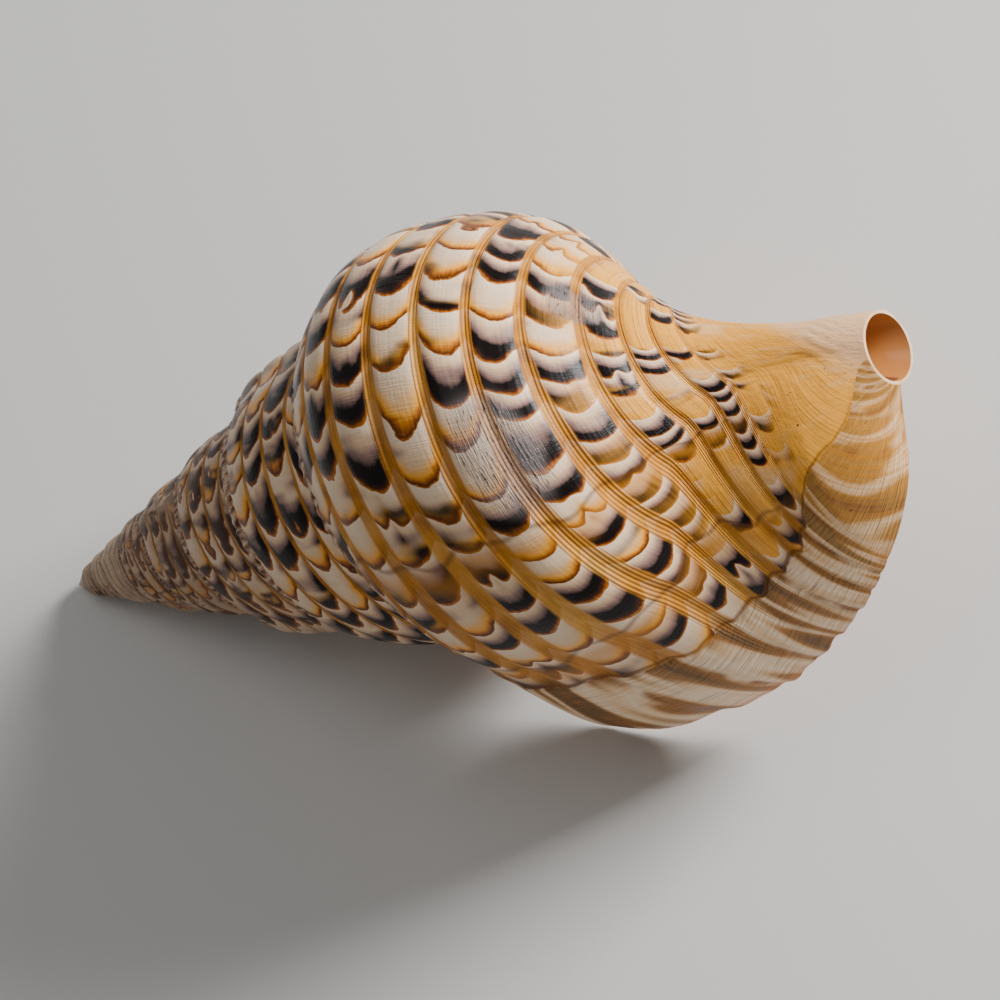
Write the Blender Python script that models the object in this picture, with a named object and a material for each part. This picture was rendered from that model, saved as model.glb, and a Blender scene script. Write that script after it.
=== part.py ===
"""A triton shell, lying on its apex, its outer lip and the back of its body whorl.

The shell is one closed solid. Its outside is the surface that a growing aperture sweeps: every
turn the aperture is EXPANSION times larger, so the suture line and each spiral cord are equiangular
spirals round the axis of coiling. The hollow is a second sweep, cut out of the first one.

Shape values are shares of the shell's length along the axis, unless they say otherwise.
Growth is counted in turns: 0 at the lip, -1 one turn before it.
"""

import math

import bmesh
import bpy
import numpy as np
from mathutils import Matrix, Vector

NODE = "shell"

# Real size, in metres: apex to the end of the canal, along the axis
SHELL_LENGTH = 0.250

# Growth of the spiral
EXPANSION = 1.4087
SUTURE_HEIGHT = 0.5318
SUTURE_RADIUS = 0.1686
LAST_SUTURE_SPREAD = 0.0308
SPIRE_TURNS = 7
APEX_HEIGHT = 0.0235

# Bulge of a whorl between its two sutures, as a share of the distance between them
SPIRE_BULGE = 0.075
BODY_BULGE = 0.1555
SPIRE_BULGE_POWER = 0.6317
BODY_BULGE_POWER = 1.0207

# Base of the body whorl and the neck of the canal
BASE_HANDLE = 0.0881
NECK_HANDLE = 0.1009
NECK_HEIGHT = 0.945
OLD_NECK_HEIGHT = 0.735
NECK_RADIUS_AT_LIP = 0.0361
NECK_RADIUS_INSIDE = 0.0255
CANAL_RADIUS = 0.034
CANAL_BEND = 0.0547
CANAL_BEND_ANGLE = 41.8
CANAL_BEND_START = 0.7557

# How far the growth lines lean forwards from the suture to the canal, in degrees
LEAN = (-2.45, 49.57, -58.36)

# The flared outer lip: height and radius at seven places from the suture to the canal
LIP_KNOTS = (
    (SUTURE_HEIGHT, SUTURE_RADIUS),
    (0.5605, 0.2874),
    (0.7228, 0.3028),
    (0.8304, 0.2633),
    (0.9151, 0.1965),
    (0.9733, 0.1190),
    (1.0, CANAL_RADIUS),
)
LIP_FLARE_TURNS = 0.122
NECK_FLARE_TURNS = 0.283
FLARE_POWER = 1.6

# Spiral cords, counted from the suture: where the fourth groove runs and how close they lie
FOURTH_GROOVE = 0.2062
CORDS_PER_LENGTH = 17.4
BASE_CROWDING = 95.0
BASE_CROWDING_START = 0.43
CORD_HEIGHT = 0.0056
GROOVE_WIDTH = 0.12
LAST_FULL_CORD = 10.0

# Varices: old lips that stayed on the whorls, in turns before the lip
VARICES = (-0.80, -1.50, -2.07, -2.72, -3.38, -4.05, -4.7, -5.35)
VARIX_HEIGHT = 0.016
VARIX_WIDTH = 0.022

# The last band at the lip stands a little proud, and older breaks in growth are low steps
BAND_START = -0.0738
BAND_STEP = 0.0030
BREAKS = ((-0.262, 0.0016), (-0.118, 0.0012))

# Walls
WALL = 0.013
LIP_WALL = 0.0062
CANAL_WALL = 0.0075
CALLUS = 0.0035
HOLLOW_TURNS = 2.2

# How it lies: its axis turned towards the front and raised, and the lip's place round the axis
AXIS_TURN = 41.536
AXIS_RISE = 20.637
LIP_ANGLE = 135.132
APEX_AT = (-0.09421, 0.09142, -0.00049)

# Fineness of the facets
LATE_ROWS = (-0.1, -0.078, -0.069, -0.056, -0.042, -0.028, -0.016, -0.007, 0.0)
EARLY_ROWS = 28
NECK_COLUMNS = 9
HOLLOW_ROWS_PER_TURN = 19
HOLLOW_RUNGS = 13


def smooth(x, start, end):
    """A smooth rise from 0 at start to 1 at end."""
    x = np.clip((x - start) / (end - start), 0.0, 1.0)
    return x * x * (3.0 - 2.0 * x)


def mix(a, b, share):
    return a * (1.0 - share) + b * share


def suture(turn):
    """Height and radius of the suture line."""
    scale = EXPANSION**turn
    spread = 1.0 + LAST_SUTURE_SPREAD * smooth(turn, -1.0, 0.8)
    return SUTURE_HEIGHT * scale, SUTURE_RADIUS * scale * spread


def plain_section(turn, u):
    """Height and radius across the whorl: u 0 to 1 between the sutures, 1 to 2 the base, 2 to 3 the neck."""
    turn, u = np.broadcast_arrays(np.asarray(turn, float), np.asarray(u, float))
    z0, r0 = suture(turn)
    z1, r1 = suture(turn + 1.0)
    dz, dr = z1 - z0, r1 - r0
    chord = np.hypot(dz, dr)
    nz, nr = -dr / chord, dz / chord
    body = smooth(turn, -1.3, -0.45)
    bulge = mix(SPIRE_BULGE, BODY_BULGE, body) * chord
    power = mix(SPIRE_BULGE_POWER, BODY_BULGE_POWER, body)
    across = np.clip(u, 0.0, 1.0)
    rise = np.sin(np.pi * across**power)
    z = z0 + dz * across + nz * bulge * rise
    r = r0 + dr * across + nr * bulge * rise

    # The base leaves the last suture in the direction that the whorl has there
    tz = dz - nz * bulge * np.pi * power
    tr = dr - nr * bulge * np.pi * power
    length = np.hypot(tz, tr)
    age = np.clip(-turn, 0.0, 1.0)
    neck = mix(NECK_RADIUS_AT_LIP, NECK_RADIUS_INSIDE, age)
    neck_z = mix(NECK_HEIGHT, OLD_NECK_HEIGHT * EXPANSION ** np.minimum(turn + 1.0, 0.0), smooth(age, 0.5, 1.0))
    span = np.maximum(neck_z - z1, 0.03) / 0.17
    v = np.clip(u - 1.0, 0.0, 1.0)
    a, b, c, d = (1 - v) ** 3, 3 * (1 - v) ** 2 * v, 3 * (1 - v) * v**2, v**3
    base_z = a * z1 + b * (z1 + tz / length * BASE_HANDLE * span)
    base_z = base_z + c * (neck_z - NECK_HANDLE * span) + d * neck_z
    base_r = a * r1 + b * (r1 + tr / length * BASE_HANDLE * span) + c * neck + d * neck
    w = np.clip(u - 2.0, 0.0, 1.0)
    base_z = base_z + (1.0 - neck_z) * w
    base_r = base_r + (CANAL_RADIUS - neck) * w
    return np.where(u <= 1.0, z, base_z), np.where(u <= 1.0, r, base_r)


def lip_edge(u):
    """Height and radius of the flared lip, a smooth curve through its knots."""
    knots = np.array(LIP_KNOTS)
    ends = np.vstack([2 * knots[0] - knots[1], knots, 2 * knots[-1] - knots[-2]])
    place = np.clip(np.asarray(u, float) * 2.0, 0.0, 6.0)
    i = np.minimum(place.astype(int), 5)
    s = (place - i)[..., None]
    p0, p1, p2, p3 = ends[i], ends[i + 1], ends[i + 2], ends[i + 3]
    curve = 2 * p1 + (p2 - p0) * s
    curve = curve + (2 * p0 - 5 * p1 + 4 * p2 - p3) * s**2 + (3 * p1 - p0 - 3 * p2 + p3) * s**3
    return curve[..., 0] / 2, curve[..., 1] / 2


def section(turn, u):
    """The whorl's section with the flare of the lip."""
    z, r = plain_section(turn, u)
    reach = mix(LIP_FLARE_TURNS, NECK_FLARE_TURNS, smooth(u, 1.2, 2.0))
    flare = np.clip((turn + reach) / reach, 0.0, 1.0) ** FLARE_POWER
    lip_z, lip_r = lip_edge(u)
    end_z, end_r = plain_section(0.0, u)
    return z + (lip_z - end_z) * flare, r + (lip_r - end_r) * flare


def cord_count(along):
    """How many grooves lie between the suture and a place, from its distance along the section."""
    crowding = BASE_CROWDING * np.clip(along - BASE_CROWDING_START, 0.0, None) ** 2
    return 4.0 + CORDS_PER_LENGTH * (along - FOURTH_GROOVE) + crowding


FINE_U = np.concatenate([np.linspace(0, 1, 61)[:-1], np.linspace(1, 2, 81)[:-1], np.linspace(2, 3, 13)])


def cords_along(turn):
    """The cord count at each value of FINE_U."""
    z, r = plain_section(turn, FINE_U)
    along = np.concatenate([[0.0], np.cumsum(np.hypot(np.diff(z), np.diff(r)))])
    return cord_count(along / EXPANSION**turn)


SUTURE_CORD = float(cords_along(-1.0)[60])
FIRST_CORD = float(cord_count(0.0))


def section_columns():
    """Cord counts of the facets' columns between the sutures and on the base, three to a cord."""
    steps = (0.0, 0.2, 0.8)
    counts = [number + step for number in range(1, 11) for step in steps]
    whorl = [FIRST_CORD, 0.7] + [n for n in counts if n < SUTURE_CORD - 0.15]
    base = [n for n in counts if n > SUTURE_CORD + 0.15] + [11.0]
    return whorl, base


WHORL, BASE = section_columns()


def relief(turn, cords, share_of_neck):
    """How far the surface stands out from its plain section."""
    scale = EXPANSION**turn
    from_groove = np.abs(cords - np.round(cords)) / GROOVE_WIDTH
    cord = 1.0 - np.exp(-(from_groove**2))
    fading = 1.0 - 0.8 * smooth(cords, LAST_FULL_CORD - 1.5, LAST_FULL_CORD + 2.0)
    height = CORD_HEIGHT * scale * cord * fading
    for place in VARICES:
        height = height + VARIX_HEIGHT * scale * np.exp(-(((turn - place) / VARIX_WIDTH) ** 2))
    for place, step in BREAKS:
        height = height - step * smooth(turn, place - 0.006, place + 0.006)
        height = height + step * smooth(turn, place, place + 0.09)
    height = height + BAND_STEP * smooth(turn, BAND_START - 0.005, BAND_START + 0.005)

    # Nothing stands out on a suture, where two whorls meet, nor at the end of the canal
    near = 1.0 - (1.0 - smooth(np.abs(cords - SUTURE_CORD), 0.0, 0.4)) * (1.0 - smooth(turn, -1.0, -0.93))
    first = smooth(cords, FIRST_CORD, FIRST_CORD + 0.3)
    return height * near * first * (1.0 - smooth(share_of_neck, 0.3, 1.0))


def surface_row(turn, count):
    """Height and radius of one row of the outside, at the columns' cord counts."""
    cords = cords_along(turn)
    if count == len(WHORL) + 1:
        wanted = np.array(WHORL + [cords[60]])
        u = np.interp(wanted, cords, FINE_U)
        u[-1] = 1.0
        share = np.zeros(len(u))
    else:
        fixed = np.array(WHORL + [SUTURE_CORD] + BASE)
        share = np.linspace(0, 1, NECK_COLUMNS + 1)[1:]
        u = np.interp(fixed, cords, FINE_U)
        u = np.concatenate([u, mix(u[-1], 3.0, share)])
        wanted = np.interp(u, FINE_U, cords)
        wanted[: len(fixed)] = fixed
        share = np.concatenate([np.zeros(len(fixed)), share])
    u[0] = 0.0
    z, r = section(turn, u)
    ahead_z, ahead_r = section(turn, np.clip(u + 0.01, 0, 3))
    behind_z, behind_r = section(turn, np.clip(u - 0.01, 0, 3))
    along_z, along_r = ahead_z - behind_z, ahead_r - behind_r
    length = np.hypot(along_z, along_r)
    out = relief(turn, wanted, share)
    if turn <= -1.0:
        out[len(WHORL)] = 0.0
    out[0] = 0.0
    return z - along_r / length * out, r + along_z / length * out


def standing():
    """The turn that lays the shell's own axis where it lies."""
    turn, rise = math.radians(AXIS_TURN), math.radians(AXIS_RISE)
    axis = Vector((math.cos(rise) * math.cos(turn), -math.cos(rise) * math.sin(turn), math.sin(rise)))
    up = (Vector((0, 0, 1)) - axis * axis.z).normalized()
    side = axis.cross(up)
    return np.array([up, side, axis]).T


STANDING = standing()


def place(turn, z, r):
    """Points in metres from turns, heights and radii, any shape of array."""
    turn, z, r = np.broadcast_arrays(turn, z, r)
    above = np.clip((z - SUTURE_HEIGHT) / (1.0 - SUTURE_HEIGHT), 0.0, 1.1)
    lean = LEAN[0] * above + LEAN[1] * above**2 + LEAN[2] * above**3
    angle = 2 * np.pi * turn + np.radians(LIP_ANGLE + lean)
    bend = np.clip((z - CANAL_BEND_START) / (1 - CANAL_BEND_START), 0.0, 1.2) ** 2
    bend = CANAL_BEND * bend
    towards = math.radians(LIP_ANGLE + CANAL_BEND_ANGLE)
    x = r * np.cos(angle) + bend * math.cos(towards)
    y = r * np.sin(angle) + bend * math.sin(towards)
    points = np.stack([x, y, z], -1) * SHELL_LENGTH
    return points @ STANDING.T + np.array(APEX_AT)


def grid(bm, rows, columns):
    """A flat grid whose x is its row and y its column."""
    made = bmesh.ops.create_grid(bm, x_segments=rows, y_segments=columns, size=0.5)
    for vert in made["verts"]:
        vert.co.x = (vert.co.x + 0.5) * rows
        vert.co.y = (vert.co.y + 0.5) * columns
        vert.co.z = 0.0
    return made["verts"]


def row_turns(every):
    """The turns of a whorl's rows, with every second or fourth of them on the small whorls."""
    early = list(np.linspace(-1.0, LATE_ROWS[0], EARLY_ROWS + 1)[:-1])
    return (early + list(LATE_ROWS))[::every]


def add_whorl(shell, older, every, next_every):
    """One whorl of the outside, grown older turns before the lip."""
    turns = row_turns(every)
    columns = len(WHORL) + (0 if older else len(BASE) + NECK_COLUMNS)
    bm = bmesh.new()
    grid(bm, len(turns) - 1, columns)
    if next_every < every:
        seam = [e for e in bm.edges if min(v.co.y for v in e.verts) > columns - 0.5]
        bmesh.ops.subdivide_edges(bm, edges=seam, cuts=1)
    finest = row_turns(1)
    rows = {}
    for vert in bm.verts:
        step = round(vert.co.x * every)
        if step not in rows:
            rows[step] = np.stack(surface_row(finest[step] - older, columns + 1), -1)
        height, radius = rows[step][round(vert.co.y)]
        vert.co = Vector(place(finest[step] - older, height, radius))
    piece = bpy.data.meshes.new("whorl")
    bm.to_mesh(piece)
    bm.free()
    shell.from_mesh(piece)
    bpy.data.meshes.remove(piece)


def loop_edges(verts):
    """The open edges whose two ends are both in verts."""
    edges = {e for v in verts for e in v.link_edges}
    return [e for e in edges if len(e.link_faces) == 1 and set(e.verts) <= set(verts)]


def near(bm, points):
    """The vertices that lie on the given points."""
    found = []
    for point in points:
        vert = min(bm.verts, key=lambda v: (v.co - Vector(point)).length_squared)
        found.append(vert)
    return found


def fill(bm, verts):
    """A face over the open edges among verts, in triangles."""
    made = bmesh.ops.contextual_create(bm, geom=loop_edges(verts))
    bmesh.ops.triangulate(bm, faces=made["faces"], ngon_method="EAR_CLIP")
    return made["faces"]


def outside():
    """The closed outside of the shell, with nothing hollow yet."""
    bm = bmesh.new()
    steps = [1, 1, 2, 2, 4, 4, 4, 4][: SPIRE_TURNS + 1]
    for older, every in enumerate(steps):
        add_whorl(bm, older, every, steps[max(older - 1, 0)])
    bmesh.ops.remove_doubles(bm, verts=bm.verts, dist=2e-6)

    whole = len(WHORL) + len(BASE) + NECK_COLUMNS + 1
    lip = near(bm, place(0.0, *surface_row(0.0, whole)))
    inner = near(bm, place(-1.0, *surface_row(-1.0, whole)))[len(WHORL):]
    turns = row_turns(1)
    ring = near(bm, [place(t, *[v[-1] for v in surface_row(t, whole)]) for t in turns])
    fill(bm, ring)
    fill(bm, lip + inner)
    tip = [v for e in bm.edges if len(e.link_faces) == 1 for v in e.verts]
    made = bmesh.ops.contextual_create(bm, geom=loop_edges(tip))
    point = bmesh.ops.poke(bm, faces=made["faces"])["verts"][0]
    point.co = Vector(place(0.0, APEX_HEIGHT, 0.0))
    bmesh.ops.recalc_face_normals(bm, faces=bm.faces)
    return bm


def offset(z, r, amount):
    """A section's curve moved to its outer side by amount."""
    dz, dr = np.gradient(z), np.gradient(r)
    length = np.hypot(dz, dr)
    return z - dr / length * amount, r + dz / length * amount


def hollow_section(depth):
    """The hollow's closed section, depth turns behind the lip."""
    scale = EXPANSION ** -max(depth, 0.0)
    u = np.linspace(0.0, 3.0, 241)
    wall = mix(LIP_WALL, WALL, smooth(depth, 0.0, 0.1)) * max(scale, 0.55)
    wall = mix(wall, CANAL_WALL, smooth(u, 1.9, 2.3))
    z, r = section(-max(depth, 0.0), u)
    z, r = offset(z, r, -wall)
    outer = np.stack([z, r], -1)
    beyond = [[1.0, CANAL_RADIUS - CANAL_WALL], [1.04, CANAL_RADIUS - CANAL_WALL]]
    outer = np.vstack([outer[outer[:, 0] < 0.998], beyond])

    # The inner side follows the whorl before, a hair under it at the edge of the aperture
    u = np.linspace(1.0, 3.0, 161)
    z, r = plain_section(-1.0 - depth, u)
    lift = CALLUS * smooth(depth, 0.02, 0.15) + 0.006 * smooth(-depth, 0.005, 0.035) - 0.0012
    z, r = offset(z, r, lift)
    opening = smooth(z, 0.86, 0.93) * (1.0 - smooth(depth, 0.12, 0.3))
    r = mix(r, 0.004, opening)
    inner = np.vstack([np.stack([z, r], -1), [[1.04, 0.004]]])

    least = 0.009 * scale
    end = mix(1.04, 0.86, smooth(depth, 0.05, 0.3))
    apart = np.sqrt(((outer[:, None] - inner[None]) ** 2).sum(-1)).min(1)
    above = outer[:, 1] > np.interp(outer[:, 0], inner[:, 0], inner[:, 1], left=0.0) + 0.5 * least
    outer = longest_run(outer, (apart > least) & above & (outer[:, 0] < end))
    apart = np.sqrt(((inner[:, None] - outer[None]) ** 2).sum(-1)).min(1)
    after = inner[:, 0] > outer[:, 0].min() - 0.3 * least
    end = min(end, outer[-1, 0] + 0.3 * least)
    inner = longest_run(inner, (apart > 0.8 * least) & after & (inner[:, 0] < end))
    return rungs(outer, inner)


def longest_run(curve, clear):
    """The curve's longest unbroken stretch where clear holds."""
    marks = np.flatnonzero(np.diff(np.concatenate([[0], clear.astype(int), [0]])))
    starts, stops = marks[::2], marks[1::2]
    best = int(np.argmax(stops - starts))
    return curve[starts[best]:stops[best]]


def evenly(curve, count):
    """Points spread evenly along a curve."""
    length = np.concatenate([[0.0], np.cumsum(np.hypot(*np.diff(curve, axis=0).T))])
    wanted = np.linspace(0.0, length[-1], count)
    return np.stack([np.interp(wanted, length, curve[:, 0]), np.interp(wanted, length, curve[:, 1])], -1)


def rungs(outer, inner):
    """A closed loop up the outer side, round the front end and back down the inner side."""
    up, down = evenly(outer, HOLLOW_RUNGS), evenly(inner, HOLLOW_RUNGS)[::-1]
    front = (up[-1] + down[0]) / 2
    ahead = up[-1] - up[-2] + down[0] - down[1]
    front = front + ahead / np.hypot(*ahead) * np.hypot(*(up[-1] - down[0])) * 0.25
    back = (up[0] + down[-1]) / 2
    behind = up[0] - up[1] + down[-1] - down[-2]
    back = back + behind / np.hypot(*behind) * np.hypot(*(up[0] - down[-1])) * 0.35
    return np.vstack([up, front, down, back])


def close_ends(bm):
    """Faces over every open end."""
    bmesh.ops.holes_fill(bm, edges=[e for e in bm.edges if len(e.link_faces) == 1])
    bmesh.ops.triangulate(bm, faces=[f for f in bm.faces if len(f.verts) > 4])
    bmesh.ops.recalc_face_normals(bm, faces=bm.faces)


def hollow():
    """The space that the animal filled, from in front of the lip back into the spire."""
    depths = [-0.035, -0.02, -0.008, 0.008, 0.02, 0.035, 0.055, 0.08, 0.105, 0.13, 0.16, 0.2]
    more = int(HOLLOW_TURNS * HOLLOW_ROWS_PER_TURN)
    depths += list(np.linspace(0.2, HOLLOW_TURNS, more + 1)[1:])
    sections = [hollow_section(depth) for depth in depths]
    around = len(sections[0])
    bm = bmesh.new()
    for vert in grid(bm, len(depths) - 1, around):
        i, j = round(vert.co.x), round(vert.co.y) % around
        vert.co = Vector(place(-depths[i], *sections[i][j]))
    bmesh.ops.remove_doubles(bm, verts=bm.verts, dist=2e-6)
    close_ends(bm)
    return bm


def canal_bore():
    """The round way along the canal."""
    heights = np.linspace(1.04, 0.875, 8)
    radii = np.interp(heights, [0.875, 0.9, 1.0, 1.04], [0.012, 0.019, 0.0265, 0.0275])
    sides = 24
    bm = bmesh.new()
    for vert in grid(bm, len(heights) - 1, sides):
        i, j = round(vert.co.x), round(vert.co.y) % sides
        vert.co = Vector(place(j / sides, heights[i], radii[i]))
    bmesh.ops.remove_doubles(bm, verts=bm.verts, dist=2e-6)
    close_ends(bm)
    return bm


def floor_block():
    """What is under the shell: it trims the three places that it stands on to small flats."""
    bm = bmesh.new()
    bmesh.ops.create_cube(bm, size=1.0, matrix=Matrix.Translation((0, 0, -0.5)))
    return bm


def make_object(name, bm):
    mesh = bpy.data.meshes.new(name)
    bm.to_mesh(mesh)
    bm.free()
    made = bpy.data.objects.new(name, mesh)
    bpy.context.scene.collection.objects.link(made)
    return made


def cut(target, name, bm):
    """Take the closed mesh away from the target."""
    cutter = make_object(name, bm)
    cutter.hide_render = True
    cutter.display_type = "WIRE"
    boolean = target.modifiers.new(name, "BOOLEAN")
    boolean.operation = "DIFFERENCE"
    boolean.solver = "EXACT"
    boolean.object = cutter


def shell_material():
    material = bpy.data.materials.new("cream and brown shell")
    material.use_nodes = True
    shader = material.node_tree.nodes["Principled BSDF"]
    shader.inputs["Base Color"].default_value = (0.62, 0.42, 0.25, 1.0)
    shader.inputs["Roughness"].default_value = 0.38
    shader.inputs["Metallic"].default_value = 0.0
    return material


def main():
    for old in list(bpy.data.objects):
        bpy.data.objects.remove(old)
    shell = make_object(NODE, outside())
    shell.data.materials.append(shell_material())
    cut(shell, "hollow", hollow())
    cut(shell, "canal_bore", canal_bore())
    cut(shell, "floor_block", floor_block())
    shell.data.shade_smooth()


main()
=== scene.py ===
"""A triton shell in cream, gold and brown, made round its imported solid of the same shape.

The shell's outside is the surface that a growing aperture sweeps. Every point on it has two growth
coordinates, which its UV map keeps: the turn, 0 at the lip and -1 one turn before it, and the cord
count, which is how many grooves lie between the suture and the point. The relief and the colour
pattern are both written in them, so both grow with the shell.

Shape values are shares of the shell's length along the axis, unless they say otherwise.
"""

from __future__ import annotations

import logging
import math
from collections.abc import Callable
from dataclasses import dataclass
from enum import Enum

import bmesh
import bpy
import numpy as np
from mathutils import Matrix, Vector

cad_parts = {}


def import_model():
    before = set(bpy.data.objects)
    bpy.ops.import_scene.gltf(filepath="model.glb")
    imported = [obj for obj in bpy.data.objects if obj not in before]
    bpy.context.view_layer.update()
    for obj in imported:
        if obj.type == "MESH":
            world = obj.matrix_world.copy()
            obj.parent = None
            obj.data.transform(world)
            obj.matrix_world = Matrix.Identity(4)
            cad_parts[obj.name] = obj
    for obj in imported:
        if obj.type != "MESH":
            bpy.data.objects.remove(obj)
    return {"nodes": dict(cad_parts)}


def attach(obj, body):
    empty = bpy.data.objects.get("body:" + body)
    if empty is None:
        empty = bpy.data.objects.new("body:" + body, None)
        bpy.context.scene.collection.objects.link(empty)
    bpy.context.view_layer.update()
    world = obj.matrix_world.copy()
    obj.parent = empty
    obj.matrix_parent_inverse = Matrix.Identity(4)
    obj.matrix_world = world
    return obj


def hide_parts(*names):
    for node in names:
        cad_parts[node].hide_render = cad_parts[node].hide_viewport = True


LOG = logging.getLogger("triton shell")
NODE = "shell"
PIECE = "triton_shell"
GROWTH_MAP = "growth"
FULL_TURN = 2.0 * math.pi
SAME_PLACE = 1e-6

# How far the cutters reach, and the growth coordinates that tell the parts of the inside from each other
PAST_CANAL = 1.04
INNER_SIDE = 20.0
BORE_GROWTH = (-0.2, 13.0)
TOOTH_PLACES = (0.36, 0.64)

Array = np.ndarray
Pair = tuple[float, float]
Triple = tuple[float, float, float]
Colour = Triple
Corner = tuple[Array, Pair]


class Surface(Enum):
    """The three surfaces of the shell, by their place in its list of materials."""

    OUTSIDE = 0
    INSIDE = 1
    EDGE = 2


def smooth(x: Array, start: float, end: float) -> Array:
    """A smooth rise from 0 at start to 1 at end."""
    x = np.clip((x - start) / (end - start), 0.0, 1.0)
    return x * x * (3.0 - 2.0 * x)


def mix(a: Array, b: Array, share: Array) -> Array:
    """The value that lies at the given share of the way from a to b."""
    return a * (1.0 - share) + b * share


@dataclass(frozen=True)
class GrowthSpiral:
    """The section of the whorls and how it grows."""

    length: float = 0.250
    expansion: float = 1.4087
    suture_height: float = 0.5318
    suture_radius: float = 0.1686
    last_suture_spread: float = 0.0308
    spire_bulge: float = 0.075
    body_bulge: float = 0.1555
    spire_bulge_power: float = 0.6317
    body_bulge_power: float = 1.0207
    base_handle: float = 0.0881
    neck_handle: float = 0.1009
    neck_height: float = 0.945
    old_neck_height: float = 0.735
    neck_radius_at_lip: float = 0.0361
    neck_radius_inside: float = 0.0255
    canal_radius: float = 0.034
    canal_bend: float = 0.0547
    canal_bend_angle: float = 41.8
    canal_bend_start: float = 0.7557
    lean: Triple = (-2.45, 49.57, -58.36)
    lip_knots: tuple[Pair, ...] = (
        (0.5318, 0.1686),
        (0.5605, 0.2874),
        (0.7228, 0.3028),
        (0.8304, 0.2633),
        (0.9151, 0.1965),
        (0.9733, 0.1190),
        (1.0, 0.034),
    )
    lip_flare_turns: float = 0.122
    neck_flare_turns: float = 0.283
    flare_power: float = 1.6
    fourth_groove: float = 0.2062
    cords_per_length: float = 17.4
    base_crowding: float = 95.0
    base_crowding_start: float = 0.43
    axis_turn: float = 41.536
    axis_rise: float = 20.637
    lip_angle: float = 135.132
    apex_at: Triple = (-0.09421, 0.09142, -0.00049)

    def suture(self, turn: Array) -> tuple[Array, Array]:
        """Height and radius of the suture line at a turn."""
        scale = self.expansion**turn
        spread = 1.0 + self.last_suture_spread * smooth(turn, -1.0, 0.8)
        return self.suture_height * scale, self.suture_radius * scale * spread

    def plain_section(self, turn: Array, u: Array) -> tuple[Array, Array]:
        """The section with no flare and no relief.

        Args:
            turn: turns from the lip.
            u: 0 to 1 between the two sutures, 1 to 2 over the base, 2 to 3 along the neck.

        Returns:
            Height and radius.
        """
        turn, u = np.broadcast_arrays(np.asarray(turn, float), np.asarray(u, float))
        z0, r0 = self.suture(turn)
        z1, r1 = self.suture(turn + 1.0)
        dz, dr = z1 - z0, r1 - r0
        chord = np.hypot(dz, dr)
        nz, nr = -dr / chord, dz / chord
        body = smooth(turn, -1.3, -0.45)
        bulge = mix(self.spire_bulge, self.body_bulge, body) * chord
        power = mix(self.spire_bulge_power, self.body_bulge_power, body)
        across = np.clip(u, 0.0, 1.0)
        rise = np.sin(np.pi * across**power)
        z = z0 + dz * across + nz * bulge * rise
        r = r0 + dr * across + nr * bulge * rise

        tz = dz - nz * bulge * np.pi * power
        tr = dr - nr * bulge * np.pi * power
        length = np.hypot(tz, tr)
        age = np.clip(-turn, 0.0, 1.0)
        neck = mix(self.neck_radius_at_lip, self.neck_radius_inside, age)
        old_neck = self.old_neck_height * self.expansion ** np.minimum(turn + 1.0, 0.0)
        neck_z = mix(self.neck_height, old_neck, smooth(age, 0.5, 1.0))
        span = np.maximum(neck_z - z1, 0.03) / 0.17
        v = np.clip(u - 1.0, 0.0, 1.0)
        a, b, c, d = (1 - v) ** 3, 3 * (1 - v) ** 2 * v, 3 * (1 - v) * v**2, v**3
        base_z = a * z1 + b * (z1 + tz / length * self.base_handle * span)
        base_z = base_z + c * (neck_z - self.neck_handle * span) + d * neck_z
        base_r = a * r1 + b * (r1 + tr / length * self.base_handle * span) + c * neck + d * neck
        w = np.clip(u - 2.0, 0.0, 1.0)
        base_z = base_z + (1.0 - neck_z) * w
        base_r = base_r + (self.canal_radius - neck) * w
        return np.where(u <= 1.0, z, base_z), np.where(u <= 1.0, r, base_r)

    def lip_edge(self, u: Array) -> tuple[Array, Array]:
        """Height and radius of the flared lip, a smooth curve through its knots."""
        knots = np.array(self.lip_knots)
        ends = np.vstack([2 * knots[0] - knots[1], knots, 2 * knots[-1] - knots[-2]])
        place = np.clip(np.asarray(u, float) * 2.0, 0.0, 6.0)
        i = np.minimum(place.astype(int), 5)
        s = (place - i)[..., None]
        p0, p1, p2, p3 = ends[i], ends[i + 1], ends[i + 2], ends[i + 3]
        curve = 2 * p1 + (p2 - p0) * s
        curve = curve + (2 * p0 - 5 * p1 + 4 * p2 - p3) * s**2 + (3 * p1 - p0 - 3 * p2 + p3) * s**3
        return curve[..., 0] / 2, curve[..., 1] / 2

    def section(self, turn: Array, u: Array) -> tuple[Array, Array]:
        """The section with the flare of the lip, as height and radius."""
        z, r = self.plain_section(turn, u)
        reach = mix(self.lip_flare_turns, self.neck_flare_turns, smooth(u, 1.2, 2.0))
        flare = np.clip((turn + reach) / reach, 0.0, 1.0) ** self.flare_power
        lip_z, lip_r = self.lip_edge(u)
        end_z, end_r = self.plain_section(0.0, u)
        return z + (lip_z - end_z) * flare, r + (lip_r - end_r) * flare

    def cord_count(self, along: Array) -> Array:
        """How many grooves lie before a place, from its distance along the section."""
        crowding = self.base_crowding * np.clip(along - self.base_crowding_start, 0.0, None) ** 2
        return 4.0 + self.cords_per_length * (along - self.fourth_groove) + crowding

    def standing(self) -> Array:
        """The turn that lays the shell's own axis where it lies."""
        turn, rise = math.radians(self.axis_turn), math.radians(self.axis_rise)
        flat = math.cos(rise)
        axis = Vector((flat * math.cos(turn), -flat * math.sin(turn), math.sin(rise)))
        up = (Vector((0, 0, 1)) - axis * axis.z).normalized()
        return np.array([up, axis.cross(up), axis]).T

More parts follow.
